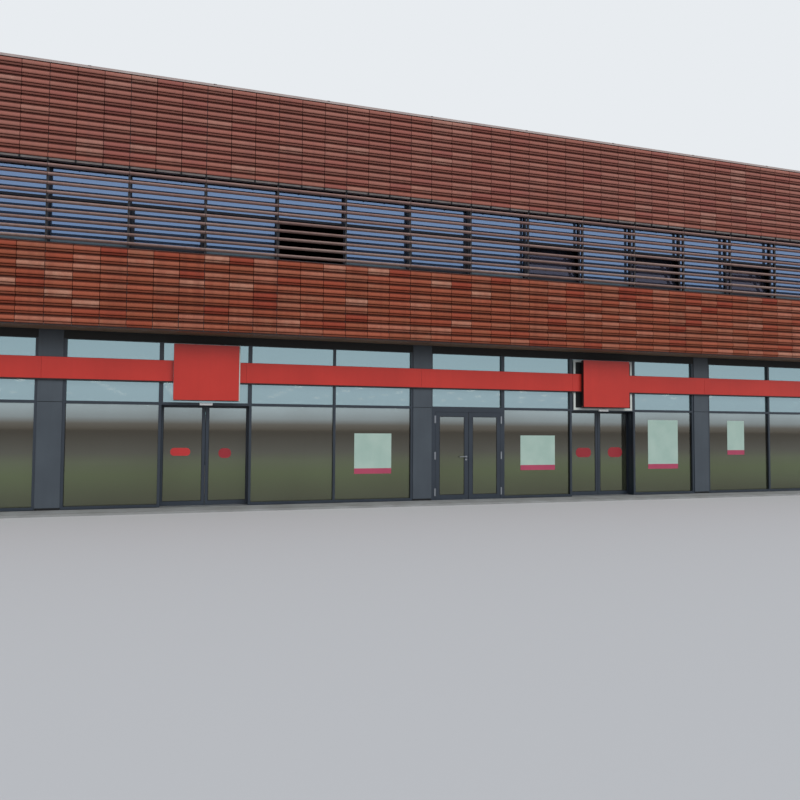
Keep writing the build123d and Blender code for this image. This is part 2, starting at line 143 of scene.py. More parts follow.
def make_wall(name, bays, ends, shift, inset, origin, turn):
    """A wall in its own axes: x along it seen from outside, y inwards from its outermost face, z up."""
    matrix = Matrix.Translation(origin) @ Matrix.Rotation(math.radians(turn), 4, "Z")
    panels = bays * bay_panels + edge_panels
    reach = panels * module / 2
    post = reach - recess - column_width / 2
    inner_posts = [-post + index * 2 * post / bays + shift for index in range(1, bays)]
    return Wall(name, bays, panels, *ends, [-post, *inner_posts, post], reach, reach - inset, matrix)


right_end_panels = (front_panels - left_end_panels) % window_panels or window_panels
front_ends = (left_end_panels, right_end_panels)
side_ends = (side_end_panels, side_end_panels)
front = make_wall("front", front_bays, front_ends, column_shift, 0, (0, -half_depth, 0), 0)
back = make_wall("back", front_bays, front_ends[::-1], -column_shift, 0, (0, half_depth, 0), 180)
left_side = make_wall("left", side_bays, side_ends, 0, clad_depth, (-half_length, 0, 0), -90)
right_side = make_wall("right", side_bays, side_ends, 0, clad_depth, (half_length, 0, 0), 90)
walls = (front, back, left_side, right_side)
# The building's own axes, for pieces that aren't set out along a wall
plan = namedtuple("Plan", "matrix")(Matrix.Identity(4))


def run_of(wall, long_inset, side_inset):
    """Half the run of sheets along a wall, which stops short of its ends by one inset or the other."""
    return wall.reach - (long_inset if wall.bays == front_bays else side_inset)


def ribbon_ends(wall):
    """Left and right end of a wall's ribbon window."""
    return -wall.reach + wall.left_end * module, wall.reach - wall.right_end * module


def window_count(wall):
    left, right = ribbon_ends(wall)
    return round((right - left) / window_width)


def window_light(wall, index):
    """Left and right edge of the lights of one ribbon window."""
    x = ribbon_ends(wall)[0] + index * window_width
    return widened((x, x + window_width), -ribbon_mullion / 2)


ribbon_lower = (ribbon_foot_z + ribbon_sill, ribbon_transom_z - ribbon_transom / 2)
ribbon_upper = (ribbon_transom_z + ribbon_transom / 2, ribbon_top_z - ribbon_head)
shop_lower = (floor_z + shop_sill, shop_transom_z - shop_transom / 2)
shop_upper = (shop_transom_z + shop_transom / 2, soffit_z - shop_head)


def module_line(wall, bay, index):
    """Where a shopfront module of a bay starts, between the faces of the bay's columns."""
    start = wall.posts[bay] + column_width / 2
    end = wall.posts[bay + 1] - column_width / 2
    if wall is front and bay == wide_module[0] and index:
        start += wide_module[1]
        return start + (end - start) * (index - 1) / (modules_per_bay - 1)
    return start + (end - start) * index / modules_per_bay


def mullion_faces(wall, bay, index):
    """The two faces of the mullion at the left of a shopfront module."""
    x = module_line(wall, bay, index)
    if index == 0:
        return x, x + shop_mullion
    if index == modules_per_bay:
        return x - shop_mullion, x
    return about(x, shop_mullion)


def shop_light(wall, bay, index):
    """Left and right edge of the lights of one shopfront module."""
    return mullion_faces(wall, bay, index)[1], mullion_faces(wall, bay, index + 1)[0]


def doorway(place):
    """Clear left and right edge between the pieces beside a door's module."""
    bay, index = place
    left = mullion_faces(front, bay, index)[0 if index == 0 else 1]
    right = mullion_faces(front, bay, index + 1)[1 if index + 1 == modules_per_bay else 0]
    return left, right


def shop_places(wall):
    """Bay and module of all glazing of a wall, and whether a door stands there."""
    for bay in range(wall.bays):
        for index in range(modules_per_bay):
            yield bay, index, wall is front and (bay, index) in door_modules


# Colours and materials


def paint(red, green, blue):
    """A linear colour from the 0 to 255 values that a screen shows."""
    def linear(value):
        share = value / 255
        return share / 12.92 if share <= 0.04045 else ((share + 0.055) / 1.055) ** 2.4
    return linear(red), linear(green), linear(blue), 1.0


def feed(tree, node, inputs):
    """Set a node's inputs to values, or link them to sockets."""
    for label, value in inputs.items():
        if isinstance(value, bpy.types.NodeSocket):
            tree.links.new(value, node.inputs[label])
        else:
            node.inputs[label].default_value = value
    return node


def new_node(tree, kind, inputs):
    """A shader node whose inputs are values or sockets."""
    return feed(tree, tree.nodes.new(f"ShaderNode{kind}"), inputs)


def worked(tree, operation, *values):
    """Socket of what an operation makes of values or sockets."""
    step = tree.nodes.new("ShaderNodeMath")
    step.operation = operation
    return feed(tree, step, dict(enumerate(values))).outputs[0]


def mixed(tree, mask, under, over):
    """Colour socket of under with over laid on it where mask is high; each is a colour or a socket."""
    mix = tree.nodes.new("ShaderNodeMix")
    mix.data_type = "RGBA"
    return feed(tree, mix, {0: mask, 6: under, 7: over}).outputs[2]


def ramped(tree, share, stops):
    """Colour socket of a ramp by a share; stops holds shares, from 0 to 1, and their colours."""
    ramp = new_node(tree, "ValToRGB", {"Fac": share})
    ramp.color_ramp.elements[0].color = stops[0][1]
    ramp.color_ramp.elements[1].color = stops[-1][1]
    for place, colour in stops[1:-1]:
        ramp.color_ramp.elements.new(place).color = colour
    return ramp.outputs["Color"]


def new_group(name, inputs, output="Mask", kind="NodeSocketFloat"):
    """A shader node group with float inputs and their defaults; the sockets of these and of its output."""
    group = bpy.data.node_groups.new(name, "ShaderNodeTree")
    for label, value in inputs.items():
        socket = group.interface.new_socket(label, in_out="INPUT", socket_type="NodeSocketFloat")
        socket.default_value = value
    group.interface.new_socket(output, in_out="OUTPUT", socket_type=kind)
    out = group.nodes.new("NodeGroupOutput").inputs[output]
    return group, group.nodes.new("NodeGroupInput").outputs, out


def object_point(group):
    """Socket of a point in the object's own axes."""
    return group.nodes.new("ShaderNodeTexCoord").outputs["Object"]


def object_height(group):
    return new_node(group, "SeparateXYZ", {"Vector": object_point(group)}).outputs["Z"]


def noise_group(name, size, default, amount, detail, levels, stretch=None):
    """A mask, 0 to Amount, where noise rises between two levels; size is its scale's label."""
    group, given, out = new_group(name, {size: default, "Amount": amount})
    place = object_point(group)
    if stretch:
        place = new_node(group, "Mapping", {"Vector": place, "Scale": stretch}).outputs["Vector"]
    noise = new_node(group, "TexNoise", {"Vector": place, "Scale": given[size], "Detail": detail})
    spread = new_node(group, "MapRange", {"Value": noise.outputs["Fac"], "From Min": levels[0],
                                          "From Max": levels[1], "To Max": given["Amount"]})
    group.links.new(spread.outputs["Result"], out)
    return group


def grain_group():
    """The normal of a fine rough skin."""
    inputs = {"Scale": 160.0, "Strength": 0.2, "Height": 0.002}
    group, given, out = new_group("skin_grain", inputs, "Normal", "NodeSocketVector")
    noise = new_node(group, "TexNoise", {"Vector": object_point(group), "Scale": given["Scale"],
                                         "Detail": 2.0})
    bump = new_node(group, "Bump", {"Strength": given["Strength"], "Distance": given["Height"],
                                    "Height": noise.outputs["Fac"]})
    group.links.new(bump.outputs["Normal"], out)
    return group


def height_group():
    """How far up a point is between two heights, 0 to 1."""
    group, given, out = new_group("height_share", {"Foot": 0.0, "Top": 1.0}, "Share")
    spread = new_node(group, "MapRange", {"Value": object_height(group), "From Min": given["Foot"],
                                          "From Max": given["Top"]})
    group.links.new(spread.outputs["Result"], out)
    return group


def row_shade_group():
    """Painted shade across a row of tiles: least on the face of its wide rib, more on its narrow rib, most in
    its joints.
    """
    group, given, out = new_group("row_painted_shade", {"Foot": 0.0, "Pitch": 0.2})
    height = worked(group, "SUBTRACT", object_height(group), given["Foot"])
    row_share = worked(group, "FRACT", worked(group, "DIVIDE", height, given["Pitch"]))
    shade_stops = ((0.0, 0.6), (0.05, 0.34), (0.18, 0.34), (0.25, 0.62), (0.34, 0.0), (0.62, 0.0), (0.77, 0.5),
             (0.86, 0.9), (1.0, 0.9))
    mask = ramped(group, row_share, [(place, (share, share, share, 1.0)) for place, share in shade_stops])
    group.links.new(mask, out)
    return group


mottle = noise_group("mottle", "Scale", 3.0, 0.5, 4.0, (0.35, 0.68))
rain_runs = noise_group("rain_runs", "Width", 9.0, 0.4, 3.0, (0.48, 0.75), stretch=(1.0, 1.0, 0.06))
skin_grain = grain_group()
height_share = height_group()
row_painted_shade = row_shade_group()


def placed(tree, group, **values):
    """Output socket of a group that is placed in a material with its own values."""
    node = tree.nodes.new("ShaderNodeGroup")
    node.node_tree = group
    return feed(tree, node, values).outputs[0]


def new_finish(name, roughness, metallic=0.0):
    """A material, its node tree and its Principled shader."""
    material = bpy.data.materials.new(name)
    material.use_nodes = True
    tree = material.node_tree
    shader = feed(tree, tree.nodes["Principled BSDF"], {"Roughness": roughness, "Metallic": metallic})
    return material, tree, shader


def coated(name, base, worn, roughness, patches=2.0, patch_amount=0.5, runs=0.0, grain=0.0, metallic=0.0):
    """A flat finish with soft patches of a second tone, rain runs and grain as asked."""
    material, tree, shader = new_finish(name, roughness, metallic)
    patch = placed(tree, mottle, Scale=patches, Amount=patch_amount)
    tone = mixed(tree, patch, paint(*base), paint(*worn))
    if runs:
        tone = mixed(tree, placed(tree, rain_runs, Amount=runs), tone, paint(*worn))
    feed(tree, shader, {"Base Color": tone})
    if grain:
        feed(tree, shader, {"Normal": placed(tree, skin_grain, Strength=grain)})
    return material


def fired_clay(name, tones, grain, row_shade=True):
    """Unglazed clay whose tone follows the number that each tile carries, duller high up than low down from
    dust and painted sheen, and with painted shade in its rows where asked.
    """
    material, tree, shader = new_finish(name, roughness=0.62)
    # Rain runs and speckles are stains; the pale tone is dust and painted sheen, and the deep brown is
    # painted shade
    rain, speckles, dust_and_sheen, painted_shade_tone = paint(84, 40, 34), paint(104, 58, 44), paint(158, 116, 112), paint(52, 16, 6)
    tile = tree.nodes.new("ShaderNodeAttribute")
    tile.attribute_name = "tile_tone"
    stops = [(index / (len(tones) - 1), paint(*tone)) for index, tone in enumerate(tones)]
    tone = ramped(tree, tile.outputs["Fac"], stops)
    tone = mixed(tree, placed(tree, mottle, Scale=5.0, Amount=0.4), tone, paint(*tones[1]))
    tone = mixed(tree, placed(tree, rain_runs, Width=5.0, Amount=0.28), tone, rain)
    tone = mixed(tree, placed(tree, mottle, Scale=70.0, Amount=0.3), tone, speckles)
    # Duller towards the top: dust mixed with painted sheen
    height = placed(tree, height_share, Foot=6.2, Top=8.2)
    tone = mixed(tree, worked(tree, "MULTIPLY", height, 0.45), tone, dust_and_sheen)
    # Painted shade darkens each row's joints and its narrow rib
    if row_shade:
        tone = mixed(tree, placed(tree, row_painted_shade, Foot=soffit_z, Pitch=row_pitch), tone, painted_shade_tone)
    skin = placed(tree, skin_grain, Strength=grain)
    feed(tree, shader, {"Base Color": tone, "Normal": skin, "Specular IOR Level": 0.25})
    return material


def glazing(name, heights, reflection_tints, cover, mirror=0.85):
    """Coated glass that mirrors what stands before it, with a painted reflection that changes with height;
    its tints give shares of its height and their colours.
    """
    material, tree, shader = new_finish(name, roughness=0.03, metallic=mirror)
    height = placed(tree, height_share, Foot=heights[0], Top=heights[1])
    painted_reflection = ramped(tree, height, [(share, paint(*colour)) for share, colour in reflection_tints])
    # Soft patches break up the painted reflection
    patch = placed(tree, mottle, Scale=0.35, Amount=0.22)
    tone = mixed(tree, patch, painted_reflection, paint(*reflection_tints[len(reflection_tints) // 2][1]))
    feed(tree, shader, {"Base Color": tone, "Alpha": cover})
    return material


def lamp_finish(name, colour, strength):
    material, tree, shader = new_finish(name, roughness=0.4)
    feed(tree, shader, {"Base Color": colour, "Emission Color": colour, "Emission Strength": strength})
    return material


clay_tones = ((150, 64, 46), (160, 76, 54), (152, 87, 62), (172, 94, 70), (162, 103, 80), (184, 118, 96),
              (192, 140, 118))
louvre_tones = ((139, 117, 112), (153, 131, 125), (168, 147, 140))
# The shop panes' painted reflection: greenish low down, a dark band at three quarters of their height, pale
# sky at the top
shop_painted_reflections = ((0.0, (116, 120, 102)), (0.3, (124, 134, 102)), (0.42, (126, 132, 108)),
              (0.52, (116, 114, 104)), (0.74, (90, 84, 74)), (0.8, (110, 106, 98)), (0.86, (150, 158, 158)),
              (1.0, (180, 194, 196)))
finishes = {
    "clay": fired_clay("fired_clay", clay_tones, 0.45),
    "louvre_clay": fired_clay("louvre_clay", louvre_tones, 0.35, row_shade=False),
    "concrete": coated("floated_concrete", (150, 152, 152), (118, 118, 114), 0.75, 1.5, 0.6, grain=0.2),
    "roofing": coated("mineral_roofing", (132, 132, 130), (112, 111, 108), 0.88, 1.7, grain=0.6),
    # Roof seams are darker for bitumen at the laps and for painted shade of the lap edges
    "roof_seam": coated("roof_seam", (96, 96, 95), (78, 78, 77), 0.7, 4.0, 0.6, grain=0.4),
    # The wall behind the tiles' open joints is seen only in shade; its dark reddish brown is painted shade
    "render": coated("render_painted_shade", (50, 26, 18), (36, 18, 12), 0.9, 3.0, grain=0.3),
    "soffit": coated("soffit_board", (150, 126, 104), (126, 106, 88), 0.55, 0.8, 0.6),
    "ceiling": coated("pale_ceiling", (176, 178, 176), (160, 160, 158), 0.8, 0.6),
    "coping": coated("folded_coping", (184, 168, 164), (150, 134, 130), 0.45, metallic=0.2),
    "casing": coated("column_casing", (70, 78, 86), (58, 65, 73), 0.42, 1.2, 0.6, runs=0.3),
    "frame": coated("frame_grey", (46, 54, 64), (36, 43, 53), 0.38, 1.6, runs=0.2),
    "sash": coated("sash_grey", (20, 25, 38), (15, 18, 28), 0.45, 1.6),
    "rail": coated("rail_dark", (32, 30, 34), (22, 20, 24), 0.5, 3.0),
    "gasket": coated("black_gasket", (20, 21, 23), (12, 12, 13), 0.7, 5.0, 0.4),
    "red": coated("red_panel", (194, 50, 39), (170, 40, 31), 0.35, 0.9, 0.45, runs=0.2),
    "red_deep": coated("red_deep", (132, 24, 18), (110, 18, 14), 0.5, 0.9, 0.45),
    # Painted shade: the dark brown of the red boxes' sides and of the red band's edges
    "dark_painted_shade": coated("dark_painted_shade", (46, 26, 26), (34, 20, 20), 0.5, 2.0, 0.4),
    "hinge": coated("satin_metal", (160, 164, 170), (138, 142, 148), 0.35, 4.0, 0.4, metallic=0.7),
    "aluminium": coated("mill_aluminium", (130, 134, 138), (104, 108, 112), 0.35, 3.0, 0.4, metallic=0.6),
    "white": coated("white_plastic", (252, 253, 253), (244, 246, 246), 0.4, 3.0, 0.3),
    "label": coated("red_label", (150, 40, 48), (134, 32, 40), 0.4, 3.0, 0.3),
    "bright_label": coated("bright_label", (190, 50, 50), (170, 40, 42), 0.4, 3.0, 0.3),
    "sheet_paper": coated("pale_paper", (174, 197, 187), (155, 183, 173), 0.7, 2.5, 0.6),
    "paper_band": coated("paper_band", (176, 74, 100), (150, 60, 86), 0.7, 2.5, 0.4),
    "header": coated("header_dark", (17, 15, 11), (12, 11, 8), 0.7, 1.6),
    "lining": coated("grey_lining", (120, 112, 110), (92, 86, 86), 0.5, 4.0, 0.7),
    "foot_strip": coated("foot_strip", (88, 104, 116), (70, 84, 94), 0.5, 1.2),
    "rim": coated("pale_rim", (206, 212, 208), (180, 188, 184), 0.4, 2.0, 0.4),
    # The glass tints are painted reflections: blue sky in the ribbon, darker in the opened sashes, pale sky
    # in the shop's upper lights
    "ribbon_glass": glazing("ribbon_glass", (5.9, 7.8), ((0, (116, 142, 180)), (1, (126, 150, 186))), 0.97),
    "sash_glass": glazing("sash_glass", (5.9, 7.8), ((0, (80, 82, 102)), (1, (70, 68, 84))), 0.8, 0.6),
    "sky_glass": glazing("sky_glass", (2.5, 4.0), ((0, (160, 182, 188)), (1, (166, 192, 198))), 0.92),
    "shop_glass": glazing("shop_glass", (0.1, 2.5), shop_painted_reflections, 0.9),
    "lamp": lamp_finish("ceiling_lamp", paint(255, 246, 226), 8.0),
}

# Finishes of slots that go by another name, and of nodes that differ from their slot
slot_finish = {
    "soffit": "ceiling", "column_cladding": "casing", "terracotta": "clay", "glass": "shop_glass",
    "red_panel": "red", "hinge_metal": "hinge", "white_plastic": "white", "frame_grey": "frame",
}
own_finish = {"opened_sash_panes": "sash_glass", "louvre_rails": "rail", "opened_sashes": "sash",
              "opened_window_frames": "sash"}
own_finish.update((f"{wall.name}_ribbon_frames", "sash") for wall in walls)
for row in frame["record"]["subparts"]:
    slot = row["material_slot"]
    finish = own_finish.get(row["node"], slot_finish.get(slot, slot))
    materials = frame["nodes"][row["node"]].data.materials
    materials.clear()
    materials.append(finishes[finish])


# Making pieces


def new_meshes(count):
    return [bmesh.new() for _ in range(count)]


def strip(mesh, wall, x, y, z):
    """A box on a wall between pairs of edges along it, inwards and up."""
    middle = Vector((sum(x) / 2, sum(y) / 2, sum(z) / 2))
    size = Matrix.Diagonal((x[1] - x[0], y[1] - y[0], z[1] - z[0], 1.0))
    bmesh.ops.create_cube(mesh, size=1.0, matrix=wall.matrix @ Matrix.Translation(middle) @ size)


def ring(mesh, wall, x, y, z, width):
    """A flat frame of four strips just inside an opening."""
    strip(mesh, wall, x, y, (z[0], z[0] + width))
    strip(mesh, wall, x, y, (z[1] - width, z[1]))
    strip(mesh, wall, (x[0], x[0] + width), y, widened(z, -width))
    strip(mesh, wall, (x[1] - width, x[1]), y, widened(z, -width))


def rod(mesh, start, end, radius, segments=16):
    """A round bar between two points."""
    start, end = Vector(start), Vector(end)
    along = end - start
    place = Matrix.Translation((start + end) / 2) @ along.to_track_quat("Z", "Y").to_matrix().to_4x4()
    bmesh.ops.create_cone(mesh, cap_ends=True, segments=segments, radius1=radius, radius2=radius,
                          depth=along.length, matrix=place)


def soften(mesh, width, segments=1, edges=None):
    """Bevel the given edges of a mesh, or all of them."""
    bmesh.ops.bevel(mesh, geom=edges or mesh.edges[:], offset=width, segments=segments, profile=0.5,
                    affect="EDGES", material=-1)


def new_object(name, data):
    item = bpy.data.objects.new(name, data)
    bpy.context.scene.collection.objects.link(item)
    return item


def mesh_object(name, mesh):
    """An object of a mesh under construction."""
    data = bpy.data.meshes.new(name)
    mesh.to_mesh(data)
    mesh.free()
    return new_object(name, data)


def finish_piece(mesh, name, finish, body="building", replaced=(), smooth_angle=None):
    """Turn a mesh under construction into a named piece that rides on a body."""
    piece = mesh_object(name, mesh)
    piece.data.materials.append(finishes[finish])
    if smooth_angle:
        piece.data.shade_smooth()
        piece.data.set_sharp_from_angle(angle=math.radians(smooth_angle))
    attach(piece, body)
    if replaced:
        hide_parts(*replaced)


# Terracotta tiles, with a wide rounded rib over a narrow one

tile_joint = 0.013
tile_foot = 0.004
lip_top = 0.194
cut_foot = 0.054
narrow_rib = ((0.038, 0.004), (0.031, 0.009), (0.026, 0.022), (0.023, 0.034), (0.025, 0.043), (0.034, 0.047))
wide_rib = ((0.034, 0.053), (0.014, 0.056), (0.005, 0.064), (0.001, 0.078), (0.0, 0.098), (0.001, 0.118),
            (0.005, 0.136), (0.013, 0.149), (0.026, 0.156))
lip = ((0.048, 0.158), (0.048, lip_top))
# Sections as depth and height: back, narrow rib, wide rib, and the lip behind the next row
tile_outline = ((clad_depth, lip_top), (clad_depth, tile_foot), *narrow_rib, *wide_rib, *lip)
# Over the windows the tiles are cut off under their wide rib
cut_tile_outline = ((clad_depth, lip_top), (clad_depth, cut_foot), (wide_rib[0][0], cut_foot),
                    *wide_rib[1:], *lip)
usual_tone, tone_spread = 0.48, 0.27


def bar_mesh(outline, x0, x1):
    """A bar along a wall: an outline of depth and height, drawn from x0 to x1."""
    mesh = bmesh.new()
    end = mesh.faces.new([mesh.verts.new((x0, depth, height)) for depth, height in outline])
    drawn = bmesh.ops.extrude_face_region(mesh, geom=[end])["geom"]
    moved = [item for item in drawn if isinstance(item, bmesh.types.BMVert)]
    bmesh.ops.translate(mesh, verts=moved, vec=(x1 - x0, 0, 0))
    bmesh.ops.recalc_face_normals(mesh, faces=mesh.faces[:])
    return mesh


def lay_rows(mesh, bar, count, width, rows, foot):
    """Add a bar to a mesh, repeated along the wall and up its rows by Array modifiers, from a height."""
    pattern = mesh_object("repeat", bar)
    single = pattern.data
    for repeats, step in ((count, (width, 0, 0)), (rows, (0, 0, row_pitch))):
        array = pattern.modifiers.new("repeat", "ARRAY")
        array.count = repeats
        array.use_relative_offset = False
        array.use_constant_offset = True
        array.constant_offset_displace = step
    bpy.context.view_layer.update()
    block = bpy.data.meshes.new_from_object(pattern.evaluated_get(bpy.context.evaluated_depsgraph_get()))
    block.transform(Matrix.Translation((0, 0, foot)))
    mesh.from_mesh(block)
    bpy.data.objects.remove(pattern)
    bpy.data.meshes.remove(single)
    bpy.data.meshes.remove(block)


def tile_block(mesh, outline, first, last, rows, foot, near=0.0, far=0.0):
    """Whole tiles first to last of a row, the same in each row; near and far shorten a corner's tile."""
    x0 = first * module + tile_joint / 2 + near
    x1 = (first + 1) * module - tile_joint / 2 - far
    lay_rows(mesh, bar_mesh(outline, x0, x1), last - first + 1, module, rows, foot)


def tile_rows(mesh, wall, first, last, rows, foot, outline=tile_outline):
    """Rows of tiles over the panels first to last, counted from the middle of the wall."""
    inset = wall.reach - wall.half
    if inset and first == -wall.panels // 2:
        tile_block(mesh, outline, first, first, rows, foot, near=inset)
        first += 1
    if inset and last == wall.panels // 2 - 1:
        tile_block(mesh, outline, last, last, rows, foot, far=inset)
        last -= 1
    if last >= first:
        tile_block(mesh, outline, first, last, rows, foot)


def tone_faces(mesh, tones, start, width, foot):
    """Give each face the tone that tones holds for its column and row."""
    layer = mesh.faces.layers.float.new("tile_tone")
    for face in mesh.faces:
        spot = face.calc_center_median()
        face[layer] = tones[math.floor((spot.x - start) / width), math.floor((spot.z - foot) / row_pitch)]


def tile_tones(wall, seed):
    """A tone for each tile, most of them near the middle and a few pale or deep."""
    choose = random.Random(seed)
    columns = range(-wall.panels // 2, wall.panels // 2)
    rows = range(-1, lower_rows + ribbon_rows + upper_rows + 1)
    return {(column, row): min(max(choose.gauss(usual_tone, tone_spread), 0.0), 1.0)
            for column in columns for row in rows}


def terracotta(wall, seed):
    mesh = bmesh.new()
    first, last = -wall.panels // 2, wall.panels // 2 - 1
    left, right = first + wall.left_end, last - wall.right_end
    tile_rows(mesh, wall, first, last, lower_rows, soffit_z)
    tile_rows(mesh, wall, first, left - 1, ribbon_rows, ribbon_foot_z)
    tile_rows(mesh, wall, right + 1, last, ribbon_rows, ribbon_foot_z)
    tile_rows(mesh, wall, first, left - 1, 1, ribbon_top_z)
    tile_rows(mesh, wall, left, right, 1, ribbon_top_z, cut_tile_outline)
    tile_rows(mesh, wall, right + 1, last, 1, ribbon_top_z)
    tile_rows(mesh, wall, first, last, upper_rows - 1, ribbon_top_z + row_pitch)
    tone_faces(mesh, tile_tones(wall, seed), 0.0, module, soffit_z)
    bmesh.ops.transform(mesh, verts=mesh.verts[:], matrix=wall.matrix)
    finish_piece(mesh, f"{wall.name}_tiles", "clay",
                 replaced=(f"{wall.name}_terracotta",), smooth_angle=50)


# Sun louvres: bars with a rounded nose, a piece to each window, in clips on the rails

louvre_joint = 0.010
nose = clad_depth - louvre_depth
half = louvre_height / 2
# Round the bar's own middle, as depth and height: an upright face over one that slopes back
louvre_outline = (
    (clad_depth, -half), (clad_depth, half), (nose + 0.008, half), (nose + 0.002, half - 0.003),
    (nose, half - 0.009), (nose, half - louvre_nose + 0.006), (nose + 0.003, half - louvre_nose),
    (nose + 0.022, -half + 0.012), (nose + 0.036, -half + 0.002), (clad_depth - 0.006, -half),
)


def louvres(wall, seed):
    left, windows = ribbon_ends(wall)[0], window_count(wall)
    bar = bar_mesh(louvre_outline, *widened((left, left + window_width), -louvre_joint / 2))
    mesh = bmesh.new()
    lay_rows(mesh, bar, windows, window_width, ribbon_rows, ribbon_foot_z + louvre_level)
    choose = random.Random(seed)
    tones = {(window, row): choose.random() for window in range(windows) for row in range(ribbon_rows)}
    tone_faces(mesh, tones, left, window_width, ribbon_foot_z)
    bmesh.ops.transform(mesh, verts=mesh.verts[:], matrix=wall.matrix)
    finish_piece(mesh, f"{wall.name}_louvre_bars", "louvre_clay",
                 replaced=(f"{wall.name}_louvres",), smooth_angle=40)


def louvre_clips():
    """Clips behind each bar on its rails."""
    mesh = bmesh.new()
    width, height, depths = 0.03, 0.068, (0.052, 0.064)
    for wall in walls:
        left, right = ribbon_ends(wall)
        for index in range(window_count(wall) + 1):
            x = min(max(left + index * window_width, left + width), right - width)
            for row in range(ribbon_rows):
                z = ribbon_foot_z + row * row_pitch + louvre_level
                strip(mesh, wall, about(x, width), depths, about(z, height))
    finish_piece(mesh, "louvre_clips", "rail")


def head_strips():
    """The grey sheet under the cut tiles over the windows, and the dark rail ends that show against it."""
    strips, ends = new_meshes(2)
    face, back_face, foot, sheet_top = 0.030, 0.034, ribbon_top_z + 0.002, ribbon_top_z + 0.006
    rail_width, rail_face = 0.034, 0.016
    rail_heights = (ribbon_top_z - 0.014, ribbon_top_z + 0.050)
    for wall in walls:
        x = ribbon_ends(wall)
        strip(strips, wall, x, (face, back_face), (foot, ribbon_top_z + cut_foot))
        strip(strips, wall, x, (face, clad_depth), (foot, sheet_top))
        for panel in range(wall.left_end + 1, wall.panels - wall.right_end):
            joint = -wall.reach + panel * module
            strip(ends, wall, about(joint, rail_width), (rail_face, back_face), rail_heights)
    finish_piece(strips, "head_strips", "lining")
    finish_piece(ends, "head_rail_ends", "gasket")


# Panes, which lap behind their frames, with a gasket before their edges

Pane = namedtuple("Pane", "face back gasket_face gasket_width")
ribbon_pane = Pane(window_back, window_back + 0.024, window_back - 0.006, 0.009)
shop_pane = Pane(shop_glass_face, shop_glass_face + 0.026, shop_glass_face - 0.008, 0.005)
pane_lap = 0.012


def glaze(panes, gaskets, wall, pane, x, z):
    """A pane and its gasket in one light."""
    strip(panes, wall, widened(x, pane_lap), (pane.face, pane.back), widened(z, pane_lap))
    ring(gaskets, wall, x, (pane.gasket_face, pane.face), z, pane.gasket_width)


# Ribbon windows

# On the walls without a list of their own, one window in four has a closed sash
sash_every, first_sash = 4, 2


def ribbon_windows():
    panes, gaskets, sashes, feet = new_meshes(4)
    sash_gap, sash_face, sash_width = 0.004, window_face + 0.012, 0.08
    foot_face, foot_height = window_back - 0.004, 0.11
    inner = ribbon_pane.gasket_width
    for wall in walls:
        for index in range(window_count(wall)):
            x = window_light(wall, index)
            opened = wall is front and index in opened_windows
            closed = index in closed_sash_windows if wall is front else index % sash_every == first_sash
            for z in (ribbon_upper,) if opened else (ribbon_upper, ribbon_lower):
                glaze(panes, gaskets, wall, ribbon_pane, x, z)
            if closed:
                ring(sashes, wall, widened(x, -sash_gap), (sash_face, window_back),
                     widened(ribbon_lower, -sash_gap), sash_width)
            elif not opened:
                strip(feet, wall, widened(x, -inner), (foot_face, window_back),
                      (ribbon_lower[0] + inner, ribbon_lower[0] + foot_height))
    soften(sashes, 0.004)
    finish_piece(panes, "ribbon_panes", "ribbon_glass", replaced=("ribbon_glass",))
    finish_piece(gaskets, "ribbon_gaskets", "gasket")
    finish_piece(sashes, "closed_sashes", "sash")
    finish_piece(feet, "ribbon_foot_strips", "foot_strip")


def ribbon_reveals():
    """Folded sheets that line the ribbon's foot, head and ends, from the tiles in to the frames."""
    mesh = bmesh.new()
    sheet = 0.004
    deep = (clad_depth + 0.001, window_back)
    for wall in walls:
        ends, heights = ribbon_ends(wall), (ribbon_foot_z, ribbon_top_z)
        for z in beside(heights, sheet):
            strip(mesh, wall, ends, deep, z)
        for x in beside(ends, sheet):
            strip(mesh, wall, x, deep, heights)
    finish_piece(mesh, "ribbon_linings", "lining")


# Shopfront


def shop_glazing():
    low, high, gaskets, backs = new_meshes(4)
    deep = (shop_glass_face, shop_glass_back + 0.03)
    for wall in walls:
        for bay, index, door in shop_places(wall):
            x = shop_light(wall, bay, index)
            if door:
                x = widened(doorway((bay, index)), -over_door_stile)
            else:
                glaze(low, gaskets, wall, shop_pane, x, shop_lower)
            glaze(high, gaskets, wall, shop_pane, x, shop_upper)
        for bay in range(wall.bays):
            for index in range(modules_per_bay + 1):
                x = widened(mullion_faces(wall, bay, index), -pane_lap)
                strip(backs, wall, x, deep, (floor_z, soffit_z))
    finish_piece(low, "shop_lower_panes", "shop_glass", replaced=("shop_glass",))
    finish_piece(high, "shop_upper_panes", "sky_glass")
    finish_piece(gaskets, "shop_gaskets", "gasket")
    finish_piece(backs, "mullion_backs", "sash")


def frame_flashings():
    """A pressed sill under each light, and the dark sheet and shadow gap that close the frames' head."""
    sills, heads, covers = new_meshes(3)
    sill_gap, sill_face, sill_heights = 0.002, frame_face - 0.028, (floor_z + 0.012, floor_z + 0.03)
    head_face, head_foot = frame_face - 0.012, soffit_z - 0.03
    cover_face, cover_heights = frame_face - 0.006, (soffit_z - shop_head + 0.004, soffit_z - 0.032)
    for wall in walls:
        for bay, index, door in shop_places(wall):
            if not door:
                x = (module_line(wall, bay, index), module_line(wall, bay, index + 1))
                strip(sills, wall, widened(x, -sill_gap), (sill_face, frame_face), sill_heights)
        for bay in range(wall.bays):
            x = (module_line(wall, bay, 0), module_line(wall, bay, modules_per_bay))
            strip(heads, wall, x, (head_face, frame_face), (head_foot, soffit_z))
            strip(covers, wall, x, (cover_face, frame_face), cover_heights)
    soften(sills, 0.003)
    finish_piece(sills, "sill_flashings", "frame")
    finish_piece(heads, "head_flashings", "gasket")
    finish_piece(covers, "head_covers", "header")


